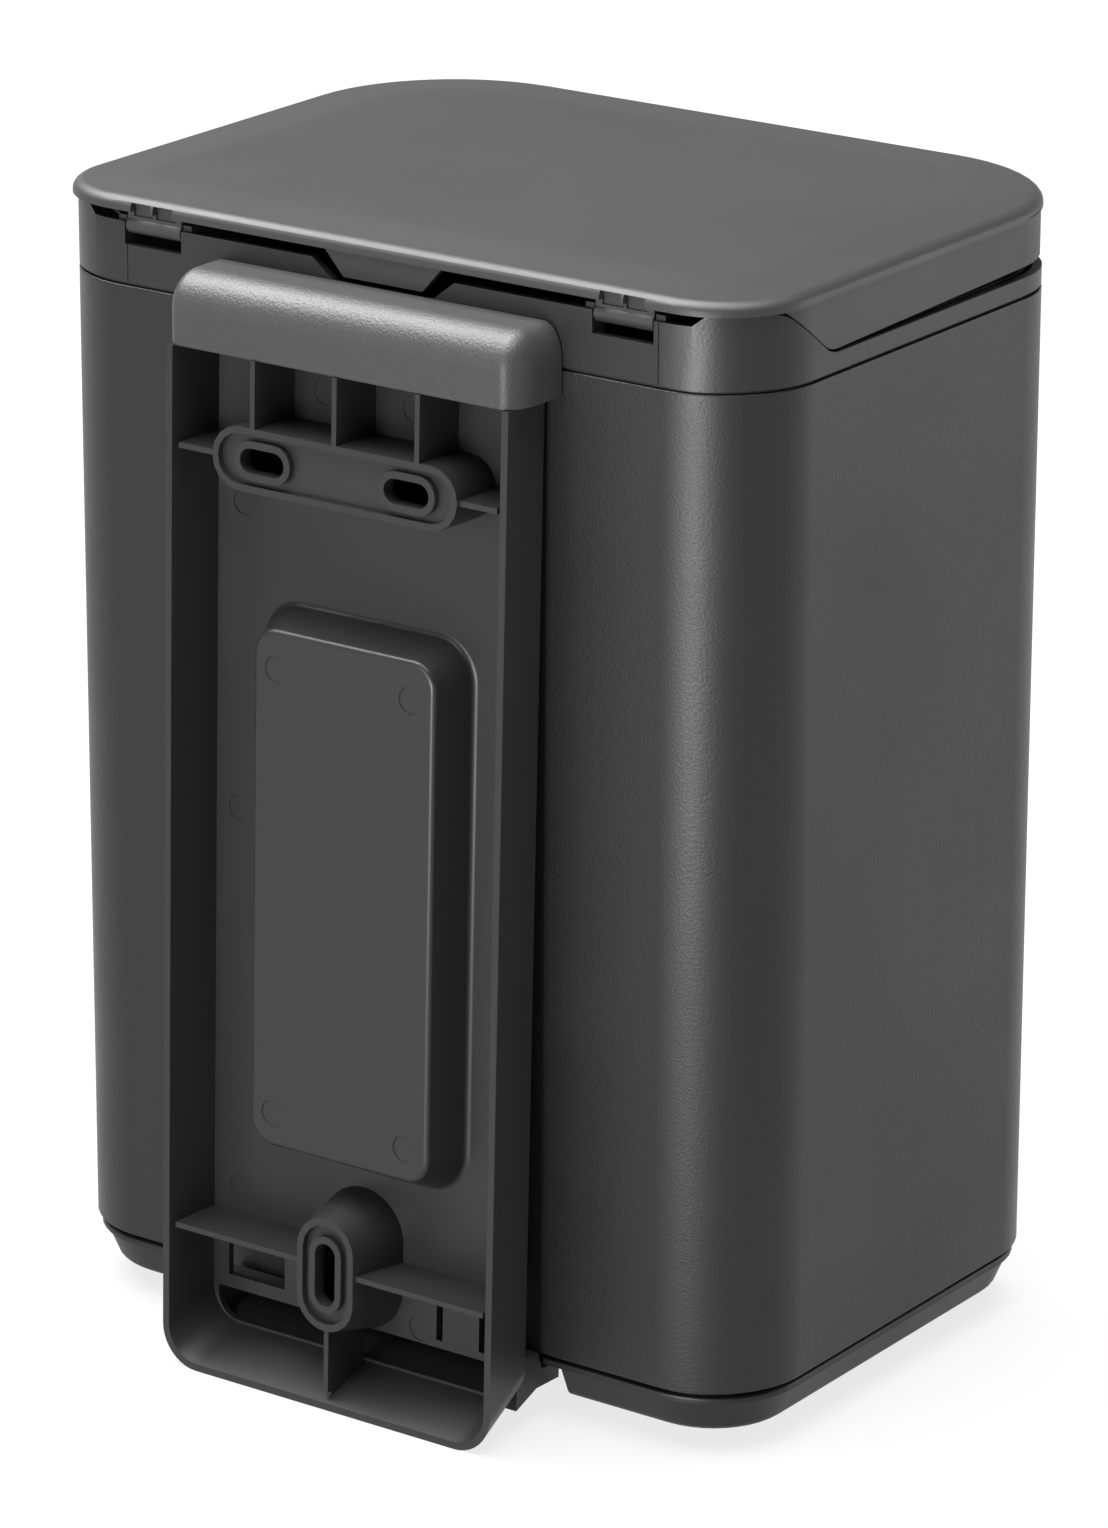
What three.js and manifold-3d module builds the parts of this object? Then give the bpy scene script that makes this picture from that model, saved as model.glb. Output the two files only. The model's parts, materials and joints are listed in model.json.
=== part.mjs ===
// A small wall-hung waste bin, seen best from behind: a painted steel sleeve between a moulded
// collar and a moulded base, a hinged lid, an inner bucket, and a hooded hook at the back that
// drops over a moulded wall bracket.
//
// Frame: +Z up, the front of the bin towards -Y, the wall towards +Y, millimetres. The origin is
// on the face that touches the wall, at the top of the bracket's upper screw boss.
// The bracket hangs a little loose on the hook, so it leans away from the bin at the bottom.

import * as THREE from 'three';
import { mergeVertices } from 'three/addons/utils/BufferGeometryUtils.js';
import Module from 'manifold-3d';

const wasm = await Module();
wasm.setup();

// ---- Driving dimensions ------------------------------------------------------------------

const GAP = 0.3; // clearance between pieces that touch on the real bin
const ARC = 10; // steps in a quarter turn of a large corner

const BODY_W = 200;
const BODY_D = 136;
const BODY_R = 24;
const SHEET = 0.8;
const SEAM_LOW = 11.3; // base meets sleeve
const SEAM_HIGH = 250; // sleeve meets collar

const COLLAR_WALL = 2.2;
const COLLAR_TOP = 266.7; // shoulders of the collar under the lid's rim
const COLLAR_BACK_TOP = 264.4; // back of the collar between and beside the hinges
const COLLAR_STRIP_TOP = 254.2; // low strip of the collar under the lid's skirt
const LEDGE_INSET = 8; // opening of the collar's ledge, which carries the bucket

const RIM_UNDER = 267; // underside of the lid's rim
const LID_TOP = 270.2;
const LID_CROWN = 1.1;
const LID_HALF_W = 99.8;
const LID_BACK = 0.6; // overhang behind the sleeve
const LID_FRONT = 148.5; // front lip, from the back of the sleeve
const LID_R_BACK = 21.5;
const LID_R_FRONT = 41;
const LID_EDGE = 3.2; // rounding of the lid's upper edge
const LID_WALL = 2.2;
const SKIRT_FRONT_LOW = 257.2; // the skirt's lower edge rises from back to front
const SKIRT_BACK_END = 254.8;
const SLANT_TOP = 14.6; // slanted joint between skirt and collar, at the shoulder's top
const SLANT_LOW = 31; // and at the low strip
const SLANT_GAP = 0.8; // measured level
const JOINT_R = 3; // rounding of the joint's corners

const HINGE_IN = 65.5; // hinge centre, from the middle of the bin
const HINGE_SLOT = 16.4;
const HINGE_Y = -2;
const HINGE_Z = 263.5;
const BARREL_R = 2;
const PIN_R = 1;
const PIN_LENGTH = 20.4;
const FLAP_TOP = 17.2; // half-width of the lid's rear flap where it leaves the rim
const FLAP_LOW = 11;
const FLAP_BOTTOM = 261;

const BUMPER_R = 2.2;
const BUMPER_T = 2.6;
const BUMPER_X = 86;
const BUMPER_Y = -127;
const BUMPER_BOTTOM = 254.2;

const HOOD_HALF_W = 49.6;
const HOOD_DEPTH = 17.5;
const HOOD_BOTTOM = 243.4;
const HOOD_TOP = 260.1;
const HOOD_R = 9;
const HOOD_WALL = 1.8;

const BASE_INSET = 5.5; // of the flank's foot; the flank leans out to just under the lip
const BASE_WALL = 2.5;
const LIP_INSET = 1;
const LIP_LOW = 9;
const LIP_TOP = 10.7;
const GROOVE_INSET = 2.6; // bottom of the groove between the lip and the sleeve
const NOTCH_HALF_W = 48.5;
const NOTCH_TOP = 9.4;
const BASE_FLOOR = 10;
const PAD_R = 7;
const PAD_T = 1.2;

const BUCKET_WALL = 1.5;
const BUCKET_BOTTOM = 16;
const BUCKET_FLANGE = 1.6;

const WALL_FROM_BACK = 18.5; // wall face to the sleeve's back, at the upper screws
const ORIGIN_HEIGHT = 227; // origin above the base's underside
const LEAN = THREE.MathUtils.degToRad(1.7);

const TRAY_DEPTH = 16.7; // bracket, wall face to the face beside the bin
const TRAY_RIM_HALF = 47.7;
const TRAY_ROOT_HALF = 45.6;
const TRAY_WALL = 1.8;
const TRAY_TOP = 26; // bracket heights are measured from the origin
const TRAY_BOTTOM = -231.6;
const TRAY_R = 10;
const FOOT_SLOPE = THREE.MathUtils.degToRad(21.7);
const FOOT_LOW = -222.4; // underside of the foot's level end
const FOOT_TOP = -218.1;
const FOOT_TIP = -32;
const PLATE_END = -213.6; // the plate stops here, at the top of the hollow foot
const HOOKED_FROM = 16.4; // above this the bracket is inside the hood
const RIB = 1.3;
const RIB_FRONT = -0.8; // the ribs stop short of the wall face

const SCREW_PITCH = 40.4;
const UPPER_Z = -6.7;
const UPPER_HALF = 26.8; // half of the distance between the end arcs' centres
const UPPER_R = 7.5;
const LOWER_Z = -198;
const LOWER_HALF = 5.8;
const LOWER_R = 8.1;
const LOWER_ROOT_R = 12; // the lower boss widens towards the plate
const BOSS_WALL = 1.6;
const SLOT_R = 2.9;
const UPPER_SLOT_HALF = 3.35;
const LOWER_SLOT_HALF = 4.9;
const LAND_DEPTH = 1.6; // the bosses' end wall, below the wall face

const POCKET_FACE = -4.5; // raised pocket, from the wall face
const POCKET_HALF = 25.3;
const POCKET_TOP = -47;
const POCKET_BOTTOM = -171.5;
const POCKET_DRAFT = 4.6;
const POCKET_R = 6;
const MARK_R = 3.3; // round marks of the mould's ejector pins
const MARK_DEPTH = 0.25;

// ---- Materials ---------------------------------------------------------------------------

function finish(color, roughness, metalness = 0) {
  return new THREE.MeshStandardMaterial({ color, roughness, metalness });
}

const satinPlastic = finish(0x4b4b4b, 0.5);
const lidPlastic = finish(0x5c5c5c, 0.45);
const texturedPlastic = finish(0x5e5e5e, 0.6);
const bracketPlastic = finish(0x3f3f3f, 0.45);
const paintedSteel = finish(0x4a4a4a, 0.6, 0.1);
const bucketPlastic = finish(0x2e2e2e, 0.55);
const rubber = finish(0x1c1c1c, 0.85);
const bareSteel = finish(0xa8a8a8, 0.35, 1);

// ---- Solids ------------------------------------------------------------------------------

function solidOf(geometry) {
  const bare = geometry.index ? geometry : geometry.clone();
  bare.deleteAttribute('normal');
  bare.deleteAttribute('uv');
  const merged = mergeVertices(bare, 1e-4);
  return new wasm.Manifold(new wasm.Mesh({
    numProp: 3,
    vertProperties: new Float32Array(merged.attributes.position.array),
    triVerts: new Uint32Array(merged.index.array),
  }));
}

function geometryOf(solid) {
  const mesh = solid.getMesh();
  const geometry = new THREE.BufferGeometry();
  const positions = new Float32Array((mesh.vertProperties.length / mesh.numProp) * 3);
  for (let i = 0; i < positions.length / 3; i++) {
    for (let k = 0; k < 3; k++) positions[3 * i + k] = mesh.vertProperties[mesh.numProp * i + k];
  }
  geometry.setAttribute('position', new THREE.BufferAttribute(positions, 3));
  geometry.setIndex(new THREE.BufferAttribute(new Uint32Array(mesh.triVerts), 1));
  geometry.computeVertexNormals();
  return geometry;
}

function union(...solids) {
  return solids.reduce((whole, piece) => whole.add(piece));
}

function cut(whole, ...tools) {
  return tools.reduce((rest, tool) => rest.subtract(tool), whole);
}

function box(x0, x1, y0, y1, z0, z1) {
  const geometry = new THREE.BoxGeometry(x1 - x0, y1 - y0, z1 - z0);
  geometry.translate((x0 + x1) / 2, (y0 + y1) / 2, (z0 + z1) / 2);
  return solidOf(geometry);
}

function extruded(shape, depth, curveSegments) {
  return new THREE.ExtrudeGeometry(shape, { depth, bevelEnabled: false, curveSegments });
}

// A shape drawn in X and Y, made a prism from z0 to z1.
function prismZ(shape, z0, z1, steps = ARC) {
  const geometry = extruded(shape, z1 - z0, steps);
  geometry.translate(0, 0, z0);
  return solidOf(geometry);
}

// A shape drawn in X and Z, made a prism from y0 to y1.
function prismY(shape, y0, y1, steps = ARC) {
  const geometry = extruded(shape, y1 - y0, steps);
  geometry.rotateX(Math.PI / 2);
  geometry.translate(0, y1, 0);
  return solidOf(geometry);
}

// A shape drawn in Y and Z, made a prism from x0 to x1.
function prismX(shape, x0, x1, steps = ARC) {
  const geometry = extruded(shape, x1 - x0, steps);
  geometry.rotateX(Math.PI / 2);
  geometry.rotateZ(Math.PI / 2);
  geometry.translate(x0, 0, 0);
  return solidOf(geometry);
}

function rodX(radius, x0, x1, y, z, sides = 16) {
  const geometry = new THREE.CylinderGeometry(radius, radius, x1 - x0, sides);
  geometry.rotateZ(Math.PI / 2);
  geometry.translate((x0 + x1) / 2, y, z);
  return solidOf(geometry);
}

function rodY(radius, y0, y1, x, z, sides = 16) {
  const geometry = new THREE.CylinderGeometry(radius, radius, y1 - y0, sides);
  geometry.translate(x, (y0 + y1) / 2, z);
  return solidOf(geometry);
}

function rodZ(radius, z0, z1, x, y, sides = 20) {
  const geometry = new THREE.CylinderGeometry(radius, radius, z1 - z0, sides);
  geometry.rotateX(Math.PI / 2);
  geometry.translate(x, y, (z0 + z1) / 2);
  return solidOf(geometry);
}

function polygon(points) {
  return new THREE.Shape(points.map(([a, b]) => new THREE.Vector2(a, b)));
}

// Two steps of a curve in place of the corner at b, on the way from a to c.
function roundCorner(a, b, c, radius) {
  const corner = new THREE.Vector2(...b);
  const towards = (p) => new THREE.Vector2(...p).sub(corner).normalize().multiplyScalar(radius).add(corner);
  const curve = new THREE.QuadraticBezierCurve(towards(a), corner, towards(c));
  return curve.getPoints(4).map((p) => [p.x, p.y]);
}

// Rings of equal point counts, joined by side walls and closed at both ends.
function loft(rings) {
  const count = rings[0].length;
  const positions = rings.flat().flatMap((p) => [p.x, p.y, p.z]);
  const indices = [];
  for (let r = 0; r + 1 < rings.length; r++) {
    for (let i = 0; i < count; i++) {
      const j = (i + 1) % count;
      const [a, b, c, d] = [r * count + i, r * count + j, (r + 1) * count + j, (r + 1) * count + i];
      indices.push(a, b, c, a, c, d);
    }
  }
  const flat = rings[0].map((p) => flatten(p, rings[0]));
  for (const [a, b, c] of THREE.ShapeUtils.triangulateShape(flat, [])) {
    const last = (rings.length - 1) * count;
    indices.push(a, c, b, last + a, last + b, last + c);
  }
  const geometry = new THREE.BufferGeometry();
  geometry.setAttribute('position', new THREE.Float32BufferAttribute(positions, 3));
  geometry.setIndex(indices);
  return solidOf(geometry);
}

// The two coordinates in which a ring is drawn: a ring lies flat in Z or flat in Y.
function flatten(p, ring) {
  const levelInZ = ring.every((q) => Math.abs(q.z - ring[0].z) < 1e-9);
  return new THREE.Vector2(p.x, levelInZ ? p.y : p.z);
}

// ---- Outlines ----------------------------------------------------------------------------

// Counter-clockwise rectangle with its own radius at each pair of corners. lowR is the radius
// at the corners with the smaller b, highR at those with the larger b.
function roundedOutline(halfA, b0, b1, lowR, highR, steps = ARC) {
  const corners = [
    [halfA - lowR, b0 + lowR, lowR, -90],
    [halfA - highR, b1 - highR, highR, 0],
    [-halfA + highR, b1 - highR, highR, 90],
    [-halfA + lowR, b0 + lowR, lowR, 180],
  ];
  return corners.flatMap(([a, b, radius, from]) => arcPoints(a, b, radius, from, 90, steps));
}

function arcPoints(a, b, radius, fromDegrees, sweep, steps) {
  return Array.from({ length: steps + 1 }, (_, i) => {
    const angle = THREE.MathUtils.degToRad(fromDegrees + (sweep * i) / steps);
    return [a + radius * Math.cos(angle), b + radius * Math.sin(angle)];
  });
}

// The sleeve's plan, moved inwards by `inset`; the back is at y = -inset.
function planOutline(inset) {
  const r = BODY_R - inset;
  return roundedOutline(BODY_W / 2 - inset, -BODY_D + inset, -inset, r, r);
}

function planPrism(inset, z0, z1) {
  return prismZ(polygon(planOutline(inset)), z0, z1);
}

function planRing(inset, wall, z0, z1) {
  return cut(planPrism(inset, z0, z1), planPrism(inset + wall, z0 - 1, z1 + 1));
}

function atHeight(outline, z) {
  return outline.map(([x, y]) => new THREE.Vector3(x, y, z));
}

// Long outline with round ends, lengthwise along the first axis drawn.
function stadium(half, radius, centreA, centreB, upright = false) {
  const points = [
    ...arcPoints(half, 0, radius, -90, 180, 8),
    ...arcPoints(-half, 0, radius, 90, 180, 8),
  ];
  const placed = points.map(([a, b]) => (upright ? [centreA - b, centreB + a] : [centreA + a, centreB + b]));
  return polygon(placed);
}

// ---- Bin: sleeve, base and bucket --------------------------------------------------------

function bodySleeve() {
  return planRing(0, SHEET, SEAM_LOW + GAP, SEAM_HIGH - GAP);
}

function padCentres() {
  const x = BODY_W / 2 - BODY_R - 4;
  return [[-x, -BODY_R - 4], [x, -BODY_R - 4], [-x, -BODY_D + BODY_R + 4], [x, -BODY_D + BODY_R + 4]];
}

function base() {
  const flank = loft([
    atHeight(planOutline(BASE_INSET), 0.4),
    atHeight(planOutline(LIP_INSET + 0.6), LIP_LOW + 0.6),
  ]);
  const ring = cut(flank, planPrism(BASE_INSET + BASE_WALL, -1, LIP_LOW + 0.2));
  const lip = planPrism(LIP_INSET, LIP_LOW, LIP_TOP);
  const groove = planRing(-1, 1 + GROOVE_INSET, LIP_TOP - 0.2, SEAM_LOW + 0.6);
  const spigot = cut(planRing(SHEET + GAP, 2.4, BASE_FLOOR, SEAM_LOW + 9), groove);
  const bosses = padCentres().map(([x, y]) => rodZ(PAD_R + 1.2, PAD_T + GAP, BASE_FLOOR, x, y));
  const notch = box(-NOTCH_HALF_W, NOTCH_HALF_W, -BASE_INSET - 6, 1, -1, NOTCH_TOP - 0.6);
  return cut(union(ring, lip, spigot, ...bosses), notch);
}

function footPad([x, y]) {
  return rodZ(PAD_R, 0, PAD_T, x, y);
}

function innerBucket() {
  const flangeBottom = SEAM_HIGH + 2 + GAP;
  const rimInset = LEDGE_INSET + 1;
  const lowInset = LEDGE_INSET + 5;
  const flangeTop = flangeBottom + BUCKET_FLANGE;
  const flange = planRing(COLLAR_WALL + 1.6, rimInset - COLLAR_WALL, flangeBottom, flangeTop);
  const outside = loft([
    atHeight(planOutline(lowInset), BUCKET_BOTTOM),
    atHeight(planOutline(rimInset), flangeTop),
  ]);
  const inside = loft([
    atHeight(planOutline(lowInset + BUCKET_WALL), BUCKET_BOTTOM + BUCKET_WALL),
    atHeight(planOutline(rimInset + BUCKET_WALL), flangeTop + 1),
  ]);
  return cut(union(outside, flange), inside);
}

// ---- Bin: collar and hook ----------------------------------------------------------------

// Side profile of what rises above the collar's low strip, in Y and Z.
function collarShoulder() {
  const [backTop, slantTop] = [[1, COLLAR_TOP], [-SLANT_TOP, COLLAR_TOP]];
  const [slantLow, frontTop] = [[-SLANT_LOW, COLLAR_STRIP_TOP], [-BODY_D - 1, COLLAR_STRIP_TOP]];
  return polygon([
    [1, SEAM_HIGH],
    backTop,
    ...roundCorner(backTop, slantTop, slantLow, JOINT_R),
    ...roundCorner(slantTop, slantLow, frontTop, JOINT_R),
    frontTop,
    [-BODY_D - 1, SEAM_HIGH],
  ]);
}

// Rear view of what is cut from the collar's back wall, in X and Z.
function collarBackCut() {
  const outer = 83;
  const notchTop = FLAP_TOP + 2.6;
  const notchLow = FLAP_LOW + 2.6;
  return polygon([
    [outer + 4, COLLAR_TOP + 1], [-outer - 4, COLLAR_TOP + 1], [-outer, COLLAR_BACK_TOP],
    [-notchTop, COLLAR_BACK_TOP], [-notchLow, FLAP_BOTTOM - 1.5], [notchLow, FLAP_BOTTOM - 1.5],
    [notchTop, COLLAR_BACK_TOP], [outer, COLLAR_BACK_TOP],
  ]);
}

function hingeEar(side, offset) {
  const x = side * HINGE_IN + offset;
  return box(x - 1.2, x + 1.2, -5, -1, 257, COLLAR_TOP - 1);
}

function collar() {
  const strip = planRing(0, COLLAR_WALL, SEAM_HIGH, COLLAR_TOP).intersect(
    prismX(collarShoulder(), -BODY_W / 2 - 1, BODY_W / 2 + 1),
  );
  const ledge = planRing(COLLAR_WALL - 0.4, LEDGE_INSET - COLLAR_WALL, SEAM_HIGH, SEAM_HIGH + 2);
  const skirt = planRing(SHEET + GAP, 1.6, SEAM_HIGH - 10, SEAM_HIGH + 0.5);
  let whole = cut(union(strip, ledge, skirt), prismY(collarBackCut(), -6, 2));
  for (const side of [-1, 1]) {
    const x = side * HINGE_IN;
    whole = cut(whole, box(x - HINGE_SLOT / 2, x + HINGE_SLOT / 2, -6, 1, 259, COLLAR_TOP + 1));
    for (const offset of [-9.4, 9.4]) whole = whole.add(hingeEar(side, offset));
    const reach = PIN_LENGTH / 2 + GAP;
    whole = cut(whole, rodX(PIN_R + GAP, x - reach, x + reach, HINGE_Y, HINGE_Z));
  }
  const partingLines = [-75, 73].map((x) => box(x - 0.15, x + 0.15, -0.25, 1, SEAM_HIGH - 1, COLLAR_TOP));
  const screwHoles = hookScrewPlaces().map(([x, z]) => rodY(1.6, -6, 1, x, z));
  return cut(whole, ...partingLines, ...screwHoles);
}

function hookScrewPlaces() {
  return [-40, -21, 21, 40].map((x) => [x, 256.6]);
}

// The hood, closed at the top, the back and the sides, and open below and towards the bin.
function hoodBody(grow, y0) {
  const halfW = HOOD_HALF_W - grow;
  const depth = HOOD_DEPTH - grow;
  const top = HOOD_TOP - grow;
  const bottom = grow > 0 ? HOOD_BOTTOM - 2 : HOOD_BOTTOM;
  const radius = HOOD_R - grow;
  const side = polygon([
    [y0, bottom], [depth, bottom],
    ...arcPoints(depth - radius, top - 0.6 - radius, radius, 0, 90, ARC),
    [y0, top],
  ]);
  const back = polygon(roundedOutline(halfW, bottom - 20, top, 1, radius));
  const plan = polygon(roundedOutline(halfW, y0 - 20, depth, 1, radius));
  return prismX(side, -halfW, halfW)
    .intersect(prismY(back, y0, depth))
    .intersect(prismZ(plan, bottom, top));
}

function hookHood() {
  const bosses = hookScrewPlaces().map(([x, z]) => rodY(2.9, GAP, 6.4, x, z));
  const bores = hookScrewPlaces().map(([x, z]) => rodY(1.6, -1, 5.6, x, z));
  const shell = cut(hoodBody(0, GAP), hoodBody(HOOD_WALL, -1));
  return cut(union(shell, ...bosses), ...bores);
}

function hookScrew([x, z]) {
  const head = rodY(2.4, -4.3, -COLLAR_WALL - GAP, x, z);
  const shank = rodY(1.3, -3, 5, x, z, 12);
  return union(head, shank);
}

// Rubber plug under the lid's stop; with the lid shut it is just above the bucket's flange.
function lidBumper(side) {
  return rodZ(BUMPER_R, BUMPER_BOTTOM, BUMPER_BOTTOM + BUMPER_T, side * BUMPER_X, BUMPER_Y, 12);
}

function hingePin(side) {
  const x = side * HINGE_IN;
  return rodX(PIN_R, x - PIN_LENGTH / 2, x + PIN_LENGTH / 2, HINGE_Y, HINGE_Z, 12);
}

// ---- Lid ---------------------------------------------------------------------------------

function lidOutline(inset) {
  return roundedOutline(
    LID_HALF_W - inset,
    -LID_FRONT + inset,
    LID_BACK - inset,
    LID_R_FRONT - inset,
    LID_R_BACK - inset,
    ARC + 4,
  );
}

// The rim's flank, its rounded edge, and the slight crown inside it.
function lidCap() {
  const rings = [atHeight(lidOutline(0), RIM_UNDER)];
  const steps = 7;
  for (let i = 1; i <= steps; i++) {
    const angle = (i / steps) * (Math.PI / 2) * 0.92;
    const rise = Math.sin(angle) * (LID_TOP - RIM_UNDER - 0.6);
    rings.push(atHeight(lidOutline(LID_EDGE * (1 - Math.cos(angle))), RIM_UNDER + 0.6 + rise));
  }
  rings.push(atHeight(lidOutline(14), LID_TOP + LID_CROWN * 0.6));
  rings.push(atHeight(lidOutline(19.5), LID_TOP + LID_CROWN));
  return loft(rings);
}

function lidSkirt() {
  const ring = planRing(0.5, LID_WALL, SKIRT_BACK_END, RIM_UNDER + 0.5);
  const slant = (SLANT_LOW - SLANT_TOP) / (COLLAR_TOP - COLLAR_STRIP_TOP);
  const slantTop = [-SLANT_TOP - SLANT_GAP + 2 * slant, COLLAR_TOP + 2];
  const slantLow = [-SLANT_LOW - SLANT_GAP + 0.6 * slant, SKIRT_BACK_END];
  const frontLow = [-BODY_D - 2, SKIRT_FRONT_LOW];
  const profile = polygon([
    frontLow,
    [-BODY_D - 2, COLLAR_TOP + 2],
    slantTop,
    ...roundCorner(slantTop, slantLow, frontLow, JOINT_R),
  ]);
  return ring.intersect(prismX(profile, -BODY_W, BODY_W));
}

function lidKnuckle(side) {
  const x = side * HINGE_IN;
  const half = HINGE_SLOT / 2 - GAP - 0.1;
  const web = box(x - half, x + half, HINGE_Y - 1.2, HINGE_Y + 1.2, HINGE_Z, RIM_UNDER + 0.8);
  return union(web, rodX(BARREL_R, x - half, x + half, HINGE_Y, HINGE_Z));
}

function lidWindow(x) {
  return box(x - 2.8, x + 2.8, HINGE_Y + 0.6, LID_BACK + 1, HINGE_Z + 2.3, LID_TOP - 1.1);
}

function lid() {
  const hollow = prismZ(polygon(planOutline(COLLAR_WALL + 0.6)), RIM_UNDER - 1, LID_TOP - LID_WALL + 0.4);
  const flap = prismY(polygon([
    [-FLAP_TOP, RIM_UNDER + 1], [-FLAP_LOW, FLAP_BOTTOM], [FLAP_LOW, FLAP_BOTTOM], [FLAP_TOP, RIM_UNDER + 1],
  ]), -1.9, -0.1);
  const stopBottom = BUMPER_BOTTOM + BUMPER_T + GAP;
  const stop = (side) => rodZ(BUMPER_R, stopBottom, LID_TOP - 1, side * BUMPER_X, BUMPER_Y, 12);
  let whole = union(cut(lidCap(), hollow), lidSkirt(), flap, stop(-1), stop(1));
  for (const side of [-1, 1]) {
    const x = side * HINGE_IN;
    whole = whole.add(lidKnuckle(side));
    whole = cut(whole, lidWindow(x - 3.2), lidWindow(x + 3.2));
    whole = cut(whole, rodX(PIN_R + GAP, x - HINGE_SLOT, x + HINGE_SLOT, HINGE_Y, HINGE_Z));
  }
  return whole;
}

// ---- Wall bracket ------------------------------------------------------------------------
// Drawn upright, with its wall face at y = 0; it takes its lean from its group.

function uprightRing(half, bottom, top, lowRadius, highRadius, y) {
  const outline = roundedOutline(half, bottom, top, lowRadius, highRadius);
  return outline.map(([x, z]) => new THREE.Vector3(x, y, z));
}

// Bottom height of the tray's outside at a place in its depth.
function trayBottomAt(y) {
  return TRAY_BOTTOM - y * Math.tan(FOOT_SLOPE);
}

function trayHalfAt(y) {
  return TRAY_RIM_HALF + (y / TRAY_DEPTH) * (TRAY_RIM_HALF - TRAY_ROOT_HALF);
}

function traySolid(inset, y0, y1) {
  const ring = (y) => uprightRing(
    trayHalfAt(y) - inset, trayBottomAt(y) + inset, TRAY_TOP - inset, TRAY_R - inset, 1, y,
  );
  return loft([ring(y1), ring(y0)]);
}

// Hollow toe that carries the tray on under the bin, open towards the tray. Its top steps down
// to pass under the sleeve and into the base's notch.
function foot() {
  const half = TRAY_ROOT_HALF - 1.2;
  const root = -TRAY_DEPTH + 1.5;
  const bend = (TRAY_BOTTOM - FOOT_LOW) / Math.tan(FOOT_SLOPE);
  const step = -TRAY_DEPTH - 6.8;
  const outside = polygon([
    [FOOT_TIP, FOOT_LOW], [bend, FOOT_LOW], [root, trayBottomAt(root)],
    [root, PLATE_END], [step, PLATE_END], [step - 1.5, FOOT_TOP], [FOOT_TIP, FOOT_TOP],
  ]);
  const wall = 1.3;
  const hollow = polygon([
    [FOOT_TIP + wall, FOOT_LOW + wall], [bend, FOOT_LOW + wall],
    [root + 1, trayBottomAt(root + 1) + TRAY_WALL + 0.1],
    [root + 1, PLATE_END - wall], [step + wall, PLATE_END - wall],
    [step - 1.5 + wall, FOOT_TOP - wall], [FOOT_TIP + wall, FOOT_TOP - wall],
  ]);
  return cut(prismX(outside, -half, half), prismX(hollow, -half + TRAY_WALL, half - TRAY_WALL));
}

// What is cut from the plate below its end, inside the tray's walls.
function plateEndCut() {
  const low = trayBottomAt(-TRAY_DEPTH) + TRAY_WALL;
  const half = TRAY_ROOT_HALF - TRAY_WALL - 1.2;
  const outline = polygon(roundedOutline(half, low, PLATE_END - 1.7, TRAY_R - 4, 0.5));
  return prismY(outline, -TRAY_DEPTH - 1, -TRAY_DEPTH + TRAY_WALL + 0.4);
}

// Raised pocket, wider at its root than at its face.
function pocketSolid(inset, y0) {
  const face = POCKET_FACE - inset;
  const draftAt = (y) => (POCKET_DRAFT * (face - y)) / (TRAY_DEPTH + POCKET_FACE);
  const [half, bottom, top, r] = [POCKET_HALF - inset, POCKET_BOTTOM + inset, POCKET_TOP - inset, POCKET_R];
  const ring = (y, extra) => uprightRing(half + extra, bottom - extra, top + extra, r + extra, r + extra, y);
  return loft([ring(face, 0), ring(y0, draftAt(y0))]);
}

function boss(half, radius, z, upright) {
  return prismY(stadium(half, radius, 0, z, upright), -TRAY_DEPTH, 0);
}

function lowerBoss() {
  const ring = (radius, y) => uprightRing(
    radius, LOWER_Z - LOWER_HALF - radius, LOWER_Z + LOWER_HALF + radius, radius - 0.01, radius - 0.01, y,
  );
  return loft([ring(LOWER_R, 0), ring(LOWER_ROOT_R, -TRAY_DEPTH)]);
}

function bossWell(half, radius, z, upright) {
  return prismY(stadium(half, radius - BOSS_WALL, 0, z, upright), -TRAY_DEPTH - 1, -LAND_DEPTH - 2);
}

function bossRecess(half, radius, z, upright) {
  return prismY(stadium(half, radius - BOSS_WALL, 0, z, upright), -LAND_DEPTH, 1);
}

function slotRing(half, x, z, upright) {
  return prismY(stadium(half, SLOT_R + 1.7, x, z, upright), -LAND_DEPTH - 0.5, 0);
}

function slotHole(half, x, z, upright) {
  return prismY(stadium(half, SLOT_R, x, z, upright), -TRAY_DEPTH - 1, 1);
}

function bracketRibs() {
  const plate = -TRAY_DEPTH + 0.5;
  const side = TRAY_ROOT_HALF - 1;
  const upright = (x, front, low, high) => box(x - RIB / 2, x + RIB / 2, plate, front, low, high);
  const level = (x0, x1, low) => box(x0, x1, plate, RIB_FRONT, low, low + RIB);
  const nearUpper = UPPER_HALF + 6.5;
  const nearLower = LOWER_R - 0.8;
  return [
    ...[-23, 0, 23].map((x) => upright(x, 0, UPPER_Z + 6.5, TRAY_TOP - 1)),
    level(nearUpper, side, UPPER_Z - RIB / 2),
    level(-side, -nearUpper, UPPER_Z - RIB / 2),
    level(nearLower, side, LOWER_Z + 1),
    level(-side, -nearLower, LOWER_Z + 0.2),
    upright(0, RIB_FRONT, TRAY_BOTTOM + 4, LOWER_Z - LOWER_HALF - LOWER_R + 0.8),
  ];
}

function hoodClearance() {
  const high = TRAY_TOP + 1;
  return [
    box(-60, 60, -3, 2, HOOKED_FROM, high),
    box(-60, -43.5, -6, 2, HOOKED_FROM, high),
    box(43.5, 60, -6, 2, HOOKED_FROM, high),
    box(-60, -46, -30, 2, HOOKED_FROM, high),
    box(46, 60, -30, 2, HOOKED_FROM, high),
  ];
}

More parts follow.
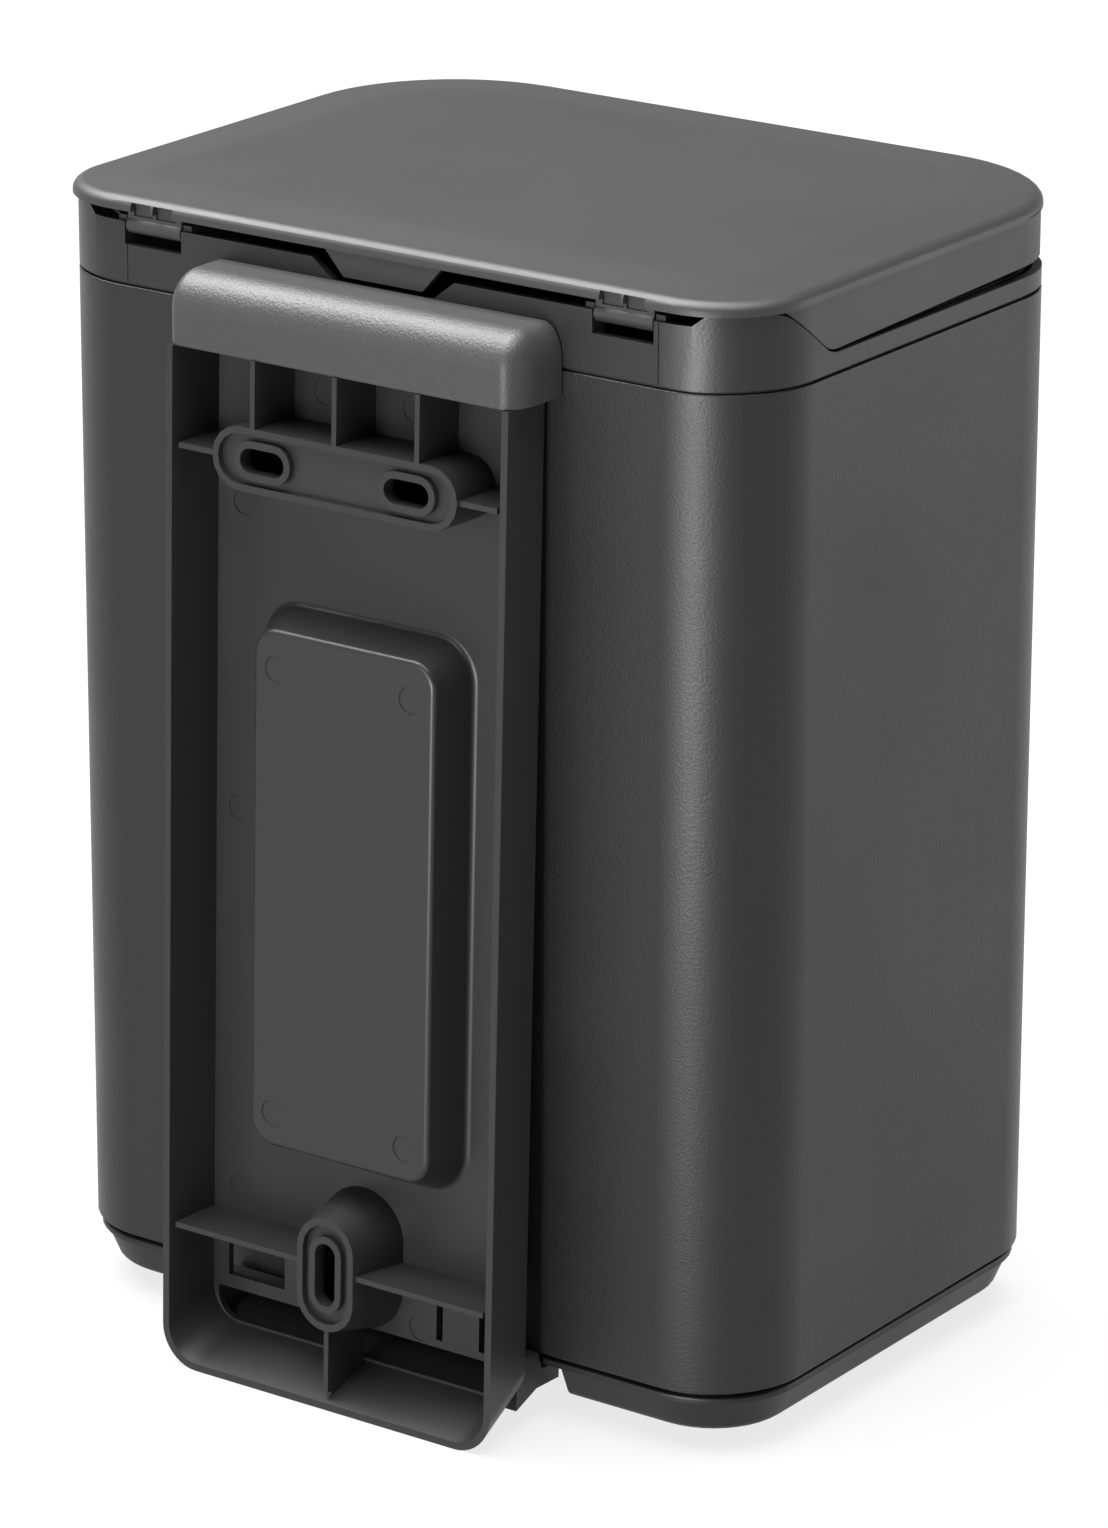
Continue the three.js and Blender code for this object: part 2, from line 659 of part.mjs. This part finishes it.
// Openings in the plate under the lower ribs: a clear window on one side, and on the other a
// tongue with a gap at each side.
function plateWindows() {
  const [y0, y1] = [-TRAY_DEPTH - 1, -TRAY_DEPTH + TRAY_WALL + 0.4];
  const high = -200;
  return [
    box(23, 39.6, y0, y1, -212, high),
    box(-23.2, -21.4, y0, y1, PLATE_END + 0.2, high),
    box(-35.6, -33.6, y0, y1, PLATE_END + 0.2, high),
  ];
}

function ejectorMarks() {
  const onPocket = [[-19, -56], [19, -56], [-19, -163.6], [19, -163.6]];
  const onPlate = [[36, -189], [37, -95.3], [36.3, -21.6], [13.5, 8.2], [-11.5, 8.2], [-16.9, -211.6]];
  const mark = ([x, z], face) => rodY(MARK_R, face - MARK_DEPTH, face + 0.5, x, z, 32);
  return [
    ...onPocket.map((place) => mark(place, POCKET_FACE)),
    ...onPlate.map((place) => mark(place, -TRAY_DEPTH + TRAY_WALL)),
  ];
}

function wallBracket() {
  const tray = cut(traySolid(0, -TRAY_DEPTH, 0), traySolid(TRAY_WALL, -TRAY_DEPTH + TRAY_WALL, 1));
  const pocket = pocketSolid(0, -TRAY_DEPTH + 0.1);
  const hollow = pocketSolid(TRAY_WALL, -TRAY_DEPTH - 1);
  const upper = boss(UPPER_HALF, UPPER_R, UPPER_Z, false);
  let whole = union(tray, pocket, upper, lowerBoss(), ...bracketRibs());
  whole = cut(
    whole,
    hollow,
    bossWell(UPPER_HALF, UPPER_R, UPPER_Z, false),
    bossRecess(UPPER_HALF, UPPER_R, UPPER_Z, false),
    bossWell(LOWER_HALF, LOWER_R, LOWER_Z, true),
    bossRecess(LOWER_HALF, LOWER_R, LOWER_Z, true),
    ...plateWindows(),
    plateEndCut(),
    ...ejectorMarks(),
    ...hoodClearance(),
  );
  const [left, right] = [-SCREW_PITCH / 2, SCREW_PITCH / 2];
  whole = union(
    whole,
    foot(),
    slotRing(UPPER_SLOT_HALF, left, UPPER_Z, false),
    slotRing(UPPER_SLOT_HALF, right, UPPER_Z, false),
    slotRing(LOWER_SLOT_HALF, 0, LOWER_Z, true),
  );
  return cut(
    whole,
    slotHole(UPPER_SLOT_HALF, left, UPPER_Z, false),
    slotHole(UPPER_SLOT_HALF, right, UPPER_Z, false),
    slotHole(LOWER_SLOT_HALF, 0, LOWER_Z, true),
  );
}

// ---- Assembly ----------------------------------------------------------------------------

function addPart(parent, name, solid, material) {
  const mesh = new THREE.Mesh(geometryOf(solid), material);
  mesh.name = name;
  parent.add(mesh);
}

const group = new THREE.Group();

const bracketGroup = new THREE.Group();
bracketGroup.rotation.x = LEAN;
group.add(bracketGroup);
addPart(bracketGroup, 'wall_bracket', wallBracket(), bracketPlastic);

const bin = new THREE.Group();
bin.position.set(0, -WALL_FROM_BACK, -ORIGIN_HEIGHT);
group.add(bin);
addPart(bin, 'body_sleeve', bodySleeve(), paintedSteel);
addPart(bin, 'base', base(), satinPlastic);
padCentres().forEach((place, i) => addPart(bin, `foot_pad_${i + 1}`, footPad(place), rubber));
addPart(bin, 'inner_bucket', innerBucket(), bucketPlastic);
addPart(bin, 'collar', collar(), satinPlastic);
addPart(bin, 'hook_hood', hookHood(), texturedPlastic);
hookScrewPlaces().forEach((place, i) => addPart(bin, `hook_screw_${i + 1}`, hookScrew(place), bareSteel));
addPart(bin, 'lid', lid(), lidPlastic);
for (const [word, side] of [['left', 1], ['right', -1]]) {
  addPart(bin, `hinge_pin_${word}`, hingePin(side), bareSteel);
  addPart(bin, `lid_bumper_${word}`, lidBumper(side), rubber);
}

export default group;
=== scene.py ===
"""A small wall-hung waste bin seen from behind, with the wall bracket that it hangs on.

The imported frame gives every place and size. This script gives the surfaces: soft mould radii,
powder coat on the steel sleeve, eroded grain on the hood, satin polypropylene elsewhere.
Pieces are modelled in millimetres, in the bin's own frame or in the bracket's, then placed.
"""

import json
import math

import bmesh
import bpy
from mathutils import Matrix, Vector

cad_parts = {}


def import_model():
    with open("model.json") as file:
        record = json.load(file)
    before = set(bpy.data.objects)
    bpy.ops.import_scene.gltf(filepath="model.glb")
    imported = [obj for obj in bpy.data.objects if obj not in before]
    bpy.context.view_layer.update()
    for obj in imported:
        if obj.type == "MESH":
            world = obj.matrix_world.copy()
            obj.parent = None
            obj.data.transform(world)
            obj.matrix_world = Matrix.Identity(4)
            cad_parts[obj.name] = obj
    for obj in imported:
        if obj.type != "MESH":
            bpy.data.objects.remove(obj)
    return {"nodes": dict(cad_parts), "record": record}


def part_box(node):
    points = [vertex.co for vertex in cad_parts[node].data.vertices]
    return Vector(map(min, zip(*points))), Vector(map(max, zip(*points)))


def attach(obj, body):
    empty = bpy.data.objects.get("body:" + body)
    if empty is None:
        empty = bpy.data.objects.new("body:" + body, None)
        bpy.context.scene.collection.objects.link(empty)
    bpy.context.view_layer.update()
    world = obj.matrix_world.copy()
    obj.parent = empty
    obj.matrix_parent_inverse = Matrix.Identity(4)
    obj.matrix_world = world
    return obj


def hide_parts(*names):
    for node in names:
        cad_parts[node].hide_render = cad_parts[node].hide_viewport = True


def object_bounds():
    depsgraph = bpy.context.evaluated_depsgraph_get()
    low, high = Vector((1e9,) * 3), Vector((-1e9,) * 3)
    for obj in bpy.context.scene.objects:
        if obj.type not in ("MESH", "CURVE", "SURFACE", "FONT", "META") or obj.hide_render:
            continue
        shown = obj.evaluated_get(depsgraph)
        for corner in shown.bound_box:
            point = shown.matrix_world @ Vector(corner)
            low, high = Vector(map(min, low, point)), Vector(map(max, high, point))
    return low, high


MM = 0.001
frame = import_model()
CAD_BOX = [list(corner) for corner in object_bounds()]

# ---- Frames of the bin and of the bracket --------------------------------------------------

BACK_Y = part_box("body_sleeve")[1][1]
STANDING_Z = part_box("foot_pad_1")[0][2]
LEAN = math.radians(1.7)
BIN_FRAME = Matrix.Translation((0, BACK_Y, STANDING_Z)) @ Matrix.Scale(MM, 4)
BRACKET_FRAME = Matrix.Rotation(LEAN, 4, "X") @ Matrix.Scale(MM, 4)
SLOTS = {row["node"]: row["material_slot"] for row in frame["record"]["subparts"]}
BODIES = frame["record"]["behaviour"]["bodies"]
BODY_OF = {node_name: body for body, names in BODIES.items() for node_name in names}

# Sizes in millimetres, and places in the frame of the bin or of the bracket.
SLEEVE_HALF = 100
SLEEVE_DEPTH = 136
SLEEVE_R = 24
SLEEVE_LOW, SLEEVE_HIGH = 12.0, 249.2  # trimmed a little, so that its two seams show
SHEET = 0.8
LIP_TOP = 10.7
LIP_INSET = 1.0
FLANK_LOW = 0.4
FLANK_INSET = 5.5
HOOD_HALF, HOOD_DEPTH = 49.6, 17.5
HOOD_LOW, HOOD_HIGH = 243.4, 260.1
HOOD_GAP = 0.3
HOOD_WALL = 1.8
HOOD_R = 8.5
HOOD_END_R = 5.0
HOOK_SCREWS = [(x, 256.6) for x in (-40, -21, 21, 40)]
SCREW_BOSS_R, SCREW_BOSS_BORE, SCREW_BOSS_LENGTH = 2.9, 1.6, 6.1
POCKET_FACE = -4.5
PLATE_INNER, PLATE_OUTER = -14.9, -16.7
POCKET_TOP, POCKET_BOTTOM = -47, -171.5
POCKET_REACH_X = 33  # past the pocket's sides, short of the tray's walls
POCKET_REACH_Z = 7
POCKET_MARK_X, POCKET_MARKS_Z = 19, (-56, -163.6)
POCKET_MARK_REACH = 4
TRAY_ROOT_HALF = 43.8
NEAR = 0.05  # how close a place is to a face to be on it
SHARP = 0.5  # radians between two faces, past which their edge is a corner

# ---- Materials -----------------------------------------------------------------------------


def linear(hex_colour):
    """An sRGB hex colour as linear RGBA."""
    channels = [int(hex_colour[i:i + 2], 16) / 255 for i in (1, 3, 5)]
    curve = [c / 12.92 if c <= 0.04045 else ((c + 0.055) / 1.055) ** 2.4 for c in channels]
    return (*curve, 1.0)


def node(tree, kind, settings=None, **inputs):
    """Adds a node with its settings. An input is a value or a socket; _3 names input 3."""
    made = tree.nodes.new(kind)
    for name, value in (settings or {}).items():
        setattr(made, name, value)
    for name, value in inputs.items():
        socket = made.inputs[int(name[1:]) if name[0] == "_" else name.replace("_", " ")]
        if isinstance(value, bpy.types.NodeSocket):
            tree.links.new(value, socket)
        else:
            socket.default_value = value
    return made


def blank_material(name):
    """A material with an empty node tree, and the tree."""
    material = bpy.data.materials.new(name)
    material.use_nodes = True
    material.node_tree.nodes.clear()
    return material, material.node_tree


MOTTLE = 55  # millimetres from one paler patch of a moulding to the next
PLASTIC_IOR = 1.49
SHEEN_SHIFT = 0.05


def polymer(name, light, dark, roughness, grains, specular=0.35):
    """A moulded or coated polymer. Broad mottling shifts its colour between two hex values and
    its roughness a little. Each grain is a (width, depth) in millimetres. Real grain is about a
    third as wide, too fine to show with the whole object in view, so it is drawn coarser."""
    material, tree = blank_material(name)
    place = node(tree, "ShaderNodeTexCoord").outputs["Object"]
    cloud = node(tree, "ShaderNodeTexNoise", Vector=place, Scale=1000 / MOTTLE, Detail=3.0)
    speck = node(tree, "ShaderNodeTexNoise", Vector=place, Scale=1000 / grains[0][0], Detail=1.0)
    blend = node(
        tree, "ShaderNodeMath", {"operation": "MULTIPLY_ADD"},
        _0=speck.outputs["Fac"], _1=0.35, _2=cloud.outputs["Fac"],
    )
    mix = node(tree, "ShaderNodeMapRange", Value=blend.outputs[0], _1=0.45, _2=0.9)
    tint = node(
        tree, "ShaderNodeMix", {"data_type": "RGBA"},
        _0=mix.outputs[0], _6=linear(dark), _7=linear(light),
    )
    sheen = node(
        tree, "ShaderNodeMapRange",
        Value=blend.outputs[0], _1=0.4, _2=0.95,
        _3=roughness + SHEEN_SHIFT, _4=roughness - SHEEN_SHIFT,
    )
    normal = None
    for width, depth in grains:
        grain = node(
            tree, "ShaderNodeTexNoise",
            Vector=place, Scale=1000 / width, Detail=2.0, Roughness=0.55,
        )
        bump = node(
            tree, "ShaderNodeBump", Height=grain.outputs["Fac"], Distance=depth * MM, Strength=1.0,
        )
        if normal is not None:
            tree.links.new(normal, bump.inputs["Normal"])
        normal = bump.outputs[0]
    shader = node(
        tree, "ShaderNodeBsdfPrincipled",
        Base_Color=tint.outputs[2], Roughness=sheen.outputs[0], Normal=normal,
    )
    shader.inputs["IOR"].default_value = PLASTIC_IOR
    shader.inputs["Specular IOR Level"].default_value = specular
    node(tree, "ShaderNodeOutputMaterial", Surface=shader.outputs[0])
    return material


def plated_steel():
    """Zinc-plated steel: bright, faintly blue, with the drawn wire's lengthwise scratches."""
    material, tree = blank_material("zinc_plated_steel")
    place = node(tree, "ShaderNodeTexCoord").outputs["Object"]
    along = node(tree, "ShaderNodeMapping", Vector=place, Scale=(40, 1500, 1500))
    scratch = node(tree, "ShaderNodeTexNoise", Vector=along.outputs[0], Scale=1.0, Detail=3.0)
    tint = node(
        tree, "ShaderNodeMix", {"data_type": "RGBA"},
        _0=scratch.outputs["Fac"], _6=linear("#a4a8ab"), _7=linear("#c9cccf"),
    )
    rough = node(tree, "ShaderNodeMapRange", Value=scratch.outputs["Fac"], _3=0.24, _4=0.42)
    bump = node(
        tree, "ShaderNodeBump", Height=scratch.outputs["Fac"], Distance=0.01 * MM, Strength=1.0,
    )
    shader = node(
        tree, "ShaderNodeBsdfPrincipled",
        Base_Color=tint.outputs[2], Metallic=1.0,
        Roughness=rough.outputs[0], Normal=bump.outputs[0],
    )
    node(tree, "ShaderNodeOutputMaterial", Surface=shader.outputs[0])
    return material


MATERIALS = {
    # Polypropylene from a polished mould: a soft sheen, with faint flow marks.
    "bracket_plastic": polymer(
        "satin_polypropylene", "#292929", "#252525", 0.4, [(0.8, 0.006), (9, 0.02)], specular=0.3,
    ),
    # Thermoset powder, baked on steel: a leathery wrinkle that breaks the highlight into grains.
    "body_paint": polymer(
        "wrinkle_powder_coat", "#191919", "#151515", 0.44, [(0.75, 0.055), (0.45, 0.03)],
    ),
    # Polypropylene from a spark-eroded mould: a shallow even grain, nearly matt.
    "base_plastic": polymer("base_polypropylene", "#101010", "#0d0d0d", 0.5, [(0.9, 0.012)]),
    # The same, with enough grain to soften the band of light on its corners.
    "collar_plastic": polymer("collar_polypropylene", "#1f1f1f", "#1b1b1b", 0.42, [(0.75, 0.04)]),
    # Coarser spark erosion, like fine leather, which turns the highlight into glitter.
    "hood_plastic": polymer(
        "eroded_grain_plastic", "#3f3f3f", "#393939", 0.46, [(0.75, 0.12), (0.45, 0.07)],
    ),
    # The lid is painted to match the sleeve, but smoother.
    "lid_plastic": polymer("satin_lid_lacquer", "#343434", "#303030", 0.5, [(0.7, 0.006)]),
    # Unpolished black polypropylene, matt inside.
    "bucket_plastic": polymer("bucket_polypropylene", "#1c1c1c", "#181818", 0.5, [(0.9, 0.012)]),
    # Moulded rubber: almost no sheen.
    "rubber": polymer("black_rubber", "#161616", "#121212", 0.8, [(0.6, 0.02)], specular=0.35),
    "screw_steel": plated_steel(),
}

# ---- Mesh work -----------------------------------------------------------------------------


def merged_copy(name, place):
    """A CAD node's mesh with its loose triangles merged into convex faces, in a frame's
    millimetres."""
    bm = bmesh.new()
    bm.from_mesh(frame["nodes"][name].data)
    bmesh.ops.remove_doubles(bm, verts=bm.verts, dist=0.01 * MM)
    bmesh.ops.transform(bm, matrix=place.inverted(), verts=bm.verts)
    bmesh.ops.dissolve_limit(bm, angle_limit=math.radians(0.6), verts=bm.verts, edges=bm.edges)
    bmesh.ops.connect_verts_concave(bm, faces=bm.faces)
    return bm


def bevel(bm, edges, width, segments):
    """Rounds edges to a width in millimetres."""
    bmesh.ops.bevel(
        bm, geom=edges, offset=width, offset_type="OFFSET", segments=segments, profile=0.5,
        affect="EDGES", clamp_overlap=True, material=-1,
    )


def edges_where(bm, test):
    """The edges whose two ends and middle all pass a test on a place."""
    return [
        e for e in bm.edges
        if all(test(p) for p in (e.verts[0].co, e.verts[1].co, (e.verts[0].co + e.verts[1].co) / 2))
    ]


def corners_where(bm, test):
    """The edges where faces meet at a corner and every place passes a test."""
    return [e for e in edges_where(bm, test) if e.calc_face_angle(0) > SHARP]


def block(bm, x0, x1, y0, y1, z0, z1):
    """A box between two corners."""
    size = Matrix.Diagonal((x1 - x0, y1 - y0, z1 - z0, 1))
    middle = Matrix.Translation(((x0 + x1) / 2, (y0 + y1) / 2, (z0 + z1) / 2))
    return bmesh.ops.create_cube(bm, size=1.0, matrix=middle @ size)["verts"]


def turned(bm, profile, centre, axis, steps=24):
    """A closed profile of (radius, height) turned once round an axis through a centre."""
    axis = Vector(axis)
    out = axis.orthogonal().normalized()
    ring = [bm.verts.new(Vector(centre) + out * r + axis * h) for r, h in profile]
    loop = [bm.edges.new((ring[i - 1], ring[i])) for i in range(len(ring))]
    bmesh.ops.spin(
        bm, geom=ring + loop, cent=centre, axis=axis, dvec=(0, 0, 0), angle=2 * math.pi,
        steps=steps, use_merge=True,
    )


def finished(name, bm, place, source, edge=0.25, wall=0.0, recalculate=False):
    """Places a shape, breaks its edges, and puts it in the CAD node's stead."""
    bmesh.ops.transform(bm, matrix=place, verts=bm.verts)
    if recalculate:
        bmesh.ops.remove_doubles(bm, verts=bm.verts, dist=0.001 * MM)
        bmesh.ops.recalc_face_normals(bm, faces=bm.faces)
    mesh = bpy.data.meshes.new(name)
    bm.to_mesh(mesh)
    bm.free()
    for face in mesh.polygons:
        face.use_smooth = True
    mesh.set_sharp_from_angle(angle=math.radians(30))
    piece = bpy.data.objects.new(name, mesh)
    bpy.context.collection.objects.link(piece)
    mesh.materials.append(MATERIALS[SLOTS[source]])
    if wall:
        thick = piece.modifiers.new("wall", "SOLIDIFY")
        thick.thickness, thick.offset = wall * MM, -1.0
        thick.use_even_offset = True
    if edge:
        broken = piece.modifiers.new("broken_edges", "BEVEL")
        broken.width, broken.segments = edge * MM, 2
        broken.limit_method, broken.angle_limit = "ANGLE", math.radians(30)
        broken.use_clamp_overlap = True
        broken.miter_outer = "MITER_ARC"
    flat = piece.modifiers.new("flat_faces", "WEIGHTED_NORMAL")
    flat.keep_sharp = False
    flat.weight = 80
    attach(piece, BODY_OF[source])
    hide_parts(source)
    return piece


# ---- Bracket -------------------------------------------------------------------------------


def bracket():
    """The ribbed tray, with soft edges on its raised pocket and fillets at its roots."""
    bm = merged_copy("wall_bracket", BRACKET_FRAME)

    def on_pocket(p, y):
        beside = abs(p.x) < POCKET_REACH_X
        along = POCKET_BOTTOM - POCKET_REACH_Z < p.z < POCKET_TOP + POCKET_REACH_Z
        return abs(p.y - y) < NEAR and beside and along

    def on_mark(p):
        return any(
            math.hypot(abs(p.x) - POCKET_MARK_X, p.z - z) < POCKET_MARK_REACH
            for z in POCKET_MARKS_Z
        )

    def at_tray_side(p):
        return abs(p.y - PLATE_INNER) < NEAR and abs(abs(p.x) - TRAY_ROOT_HALF) < NEAR

    def at_outer_root(p):
        return abs(p.y - PLATE_OUTER) < NEAR and abs(p.x) > 43

    bevel(bm, corners_where(bm, lambda p: on_pocket(p, POCKET_FACE) and not on_mark(p)), 2.2, 6)
    bevel(bm, corners_where(bm, lambda p: on_pocket(p, PLATE_INNER)), 1.2, 4)
    bevel(bm, corners_where(bm, at_tray_side), 1.3, 4)
    bevel(bm, corners_where(bm, at_outer_root), 0.9, 4)
    finished("ribbed_wall_bracket", bm, BRACKET_FRAME, "wall_bracket", edge=0.22)


# ---- Bin -----------------------------------------------------------------------------------


def sleeve():
    """Rolled sheet, with its long corners formed round a mandrel and its edges turned smooth."""
    bm = bmesh.new()
    block(bm, -SLEEVE_HALF, SLEEVE_HALF, -SLEEVE_DEPTH, 0, SLEEVE_LOW, SLEEVE_HIGH)
    bevel(bm, [e for e in bm.edges if abs(e.verts[0].co.z - e.verts[1].co.z) > 1], SLEEVE_R, 24)
    ends = [f for f in bm.faces if abs(f.normal.z) > 0.9]
    bmesh.ops.delete(bm, geom=ends, context="FACES_ONLY")
    finished("powder_coated_sleeve", bm, BIN_FRAME, "body_sleeve", edge=0.38, wall=SHEET)


def hood():
    """The hooded hook: a shell, open below and towards the bin, on four screw bosses. It is
    rounded while stretched along X, so its ends come out with a tighter round."""
    bm = bmesh.new()
    stretch = HOOD_R / HOOD_END_R
    block(bm, -HOOD_HALF * stretch, HOOD_HALF * stretch, HOOD_GAP, HOOD_DEPTH, HOOD_LOW, HOOD_HIGH)
    rounded = [
        e for e in bm.edges
        if max(v.co.z for v in e.verts) > HOOD_LOW + 1 and max(v.co.y for v in e.verts) > 1
    ]
    bevel(bm, rounded, HOOD_R, 12)
    bmesh.ops.scale(bm, verts=bm.verts, vec=(1 / stretch, 1, 1))
    open_faces = [f for f in bm.faces if f.normal.z < -0.9 or f.normal.y < -0.9]
    bmesh.ops.delete(bm, geom=open_faces, context="FACES_ONLY")
    finished("eroded_grain_hood", bm, BIN_FRAME, "hook_hood", edge=0.3, wall=HOOD_WALL)
    bosses = bmesh.new()
    section = [
        (SCREW_BOSS_BORE, 0), (SCREW_BOSS_R, 0),
        (SCREW_BOSS_R, SCREW_BOSS_LENGTH), (SCREW_BOSS_BORE, SCREW_BOSS_LENGTH),
    ]
    for x, z in HOOK_SCREWS:
        turned(bosses, section, (x, HOOD_GAP, z), (0, 1, 0))
    finished("hood_screw_bosses", bosses, BIN_FRAME, "hook_hood", edge=0.2, recalculate=True)


def screws():
    """Pan-head screws that hold the hood from inside the collar."""
    for index, (x, z) in enumerate(HOOK_SCREWS):
        bm = bmesh.new()
        profile = [
            (0.0, -4.3), (0.9, -4.28), (1.7, -4.1), (2.2, -3.7), (2.4, -3.2), (2.4, -2.5),
            (1.3, -2.5), (1.3, 4.6), (0.9, 5.0), (0.0, 5.0),
        ]
        axis = Vector((0, 1, 0))
        ring = [bm.verts.new(Vector((x, h, z)) + Vector((r, 0, 0))) for r, h in profile]
        chain = [bm.edges.new((ring[i], ring[i + 1])) for i in range(len(ring) - 1)]
        bmesh.ops.spin(
            bm, geom=ring + chain, cent=(x, 0, z), axis=axis, dvec=(0, 0, 0), angle=2 * math.pi,
            steps=24, use_merge=True,
        )
        name = f"hook_screw_{index + 1}"
        finished("pan_head_" + name, bm, BIN_FRAME, name, edge=0, recalculate=True)


def inside_plan(p, inset):
    """Whether a place is inside the sleeve's plan, moved in by an inset."""
    radius = SLEEVE_R - inset
    beyond_x = max(0, abs(p.x) - (SLEEVE_HALF - SLEEVE_R))
    beyond_y = max(0, abs(p.y + SLEEVE_DEPTH / 2) - (SLEEVE_DEPTH / 2 - SLEEVE_R))
    return math.hypot(beyond_x, beyond_y) < radius


def base():
    """The moulded base, its lip rolled over below the groove, its flank rounded at the foot."""
    bm = merged_copy("base", BIN_FRAME)

    def at_lip(p):
        return abs(p.z - LIP_TOP) < NEAR and not inside_plan(p, LIP_INSET + 0.6)

    def at_foot(p):
        return abs(p.z - FLANK_LOW) < NEAR and not inside_plan(p, FLANK_INSET + 0.7)

    bevel(bm, corners_where(bm, at_lip), 0.8, 5)
    bevel(bm, corners_where(bm, at_foot), 2.0, 5)
    finished("foot_ring", bm, BIN_FRAME, "base", edge=0.4)


def moulded_copies():
    """The smaller mouldings, with the edge each mould gives."""
    for source, name, edge in (
        ("collar", "collar_ring", 0.4),
        ("lid", "hinged_lid", 0.35),
        ("inner_bucket", "lift_out_bucket", 0.6),
        ("foot_pad_1", "foot_pad_back_left", 0.4),
        ("foot_pad_2", "foot_pad_back_right", 0.4),
        ("foot_pad_3", "foot_pad_front_left", 0.4),
        ("foot_pad_4", "foot_pad_front_right", 0.4),
        ("lid_bumper_left", "bumper_plug_left", 0.4),
        ("lid_bumper_right", "bumper_plug_right", 0.4),
        ("hinge_pin_left", "hinge_wire_left", 0.15),
        ("hinge_pin_right", "hinge_wire_right", 0.15),
    ):
        finished(name, merged_copy(source, BIN_FRAME), BIN_FRAME, source, edge=edge)


bracket()
sleeve()
hood()
screws()
base()
moulded_copies()

# ---- Floor, light and camera ---------------------------------------------------------------

FLOOR_Z = CAD_BOX[0][2]
FLOOR_HALF = 40.0
FLOOR_GLOW = 0.78


def compass(azimuth, elevation):
    """The direction towards a view, as the compass of the views has it."""
    azimuth, elevation = math.radians(azimuth), math.radians(elevation)
    return Vector((
        math.sin(azimuth) * math.cos(elevation),
        -math.cos(azimuth) * math.cos(elevation),
        math.sin(elevation),
    ))


def softbox(name, azimuth, elevation, distance, size, power, sheen_only=False):
    """A flat lamp that faces the object. With sheen_only it shows in reflections alone."""
    middle = Vector((0, -0.07, -0.1))
    place = middle + compass(azimuth, elevation) * distance
    data = bpy.data.lights.new(name, "AREA")
    data.shape = "RECTANGLE"
    data.size, data.size_y = size
    data.energy = power
    lamp = bpy.data.objects.new(name, data)
    turn = (middle - place).to_track_quat("-Z", "Y").to_matrix().to_4x4()
    lamp.matrix_world = Matrix.Translation(place) @ turn
    lamp.visible_diffuse = not sheen_only
    bpy.context.collection.objects.link(lamp)


def floor():
    """A plain floor, lit partly from below like a light table, so shadows on it stay soft."""
    bm = bmesh.new()
    bmesh.ops.create_grid(bm, x_segments=1, y_segments=1, size=FLOOR_HALF)
    bmesh.ops.translate(bm, verts=bm.verts, vec=(0, 0, FLOOR_Z))
    mesh = bpy.data.meshes.new("studio_floor")
    bm.to_mesh(mesh)
    bm.free()
    stage = bpy.data.objects.new("studio_floor", mesh)
    bpy.context.collection.objects.link(stage)
    material, tree = blank_material("lit_pale_acrylic")
    shader = node(
        tree, "ShaderNodeBsdfPrincipled",
        Base_Color=linear("#5b5b5b"), Roughness=0.9, Emission_Color=linear("#ffffff"),
    )
    shader.inputs["Emission Strength"].default_value = FLOOR_GLOW
    node(tree, "ShaderNodeOutputMaterial", Surface=shader.outputs[0])
    mesh.materials.append(material)


def camera():
    """A long lens, behind the object and a little above it."""
    data = bpy.data.cameras.new("studio_camera")
    data.lens, data.sensor_width, data.sensor_fit = 163.0, 36.0, "AUTO"
    cam = bpy.data.objects.new("studio_camera", data)
    turn = compass(215.35, 18.96).to_track_quat("Z", "Y").to_matrix().to_4x4()
    roll = Matrix.Rotation(math.radians(0.17), 4, "Z")
    cam.matrix_world = Matrix.Translation((-0.8981, 1.1807, 0.4353)) @ turn @ roll
    bpy.context.collection.objects.link(cam)
    bpy.context.scene.camera = cam


def skylight(azimuth, elevation, spread, strength):
    """One wide overhead source, even over the whole floor."""
    data = bpy.data.lights.new("overhead", "SUN")
    data.energy, data.angle = strength, math.radians(spread)
    lamp = bpy.data.objects.new("overhead", data)
    lamp.matrix_world = (-compass(azimuth, elevation)).to_track_quat("-Z", "Y").to_matrix().to_4x4()
    bpy.context.collection.objects.link(lamp)


def world(level, dome):
    """A studio that is pale at the horizon and dim above it."""
    studio = bpy.data.worlds.new("studio")
    studio.use_nodes = True
    tree = studio.node_tree
    tree.nodes.clear()
    towards = node(tree, "ShaderNodeTexCoord").outputs["Generated"]
    height = node(tree, "ShaderNodeSeparateXYZ", Vector=towards).outputs["Z"]
    strength = node(
        tree, "ShaderNodeMapRange",
        Value=height, From_Min=0.05, From_Max=0.3, To_Min=level, To_Max=dome,
    )
    glow = node(tree, "ShaderNodeBackground", Color=linear("#ffffff"), Strength=strength.outputs[0])
    node(tree, "ShaderNodeOutputWorld", Surface=glow.outputs[0])
    bpy.context.scene.world = studio


floor()
camera()
world(0.8, 0.03)
skylight(150, 84, 60, 7.4)
softbox("corner_strip", 190, -2, 0.8, (0.10, 0.22), 7, sheen_only=True)
softbox("hood_bank", 96, 57, 1.8, (1.2, 1.1), 85, sheen_only=True)
softbox("side_bank", 320, 6, 1.9, (0.8, 0.9), 10.5)
softbox("back_bank", 172, 12, 2.2, (0.7, 0.9), 17)
bpy.context.scene.view_settings.view_transform = "Standard"
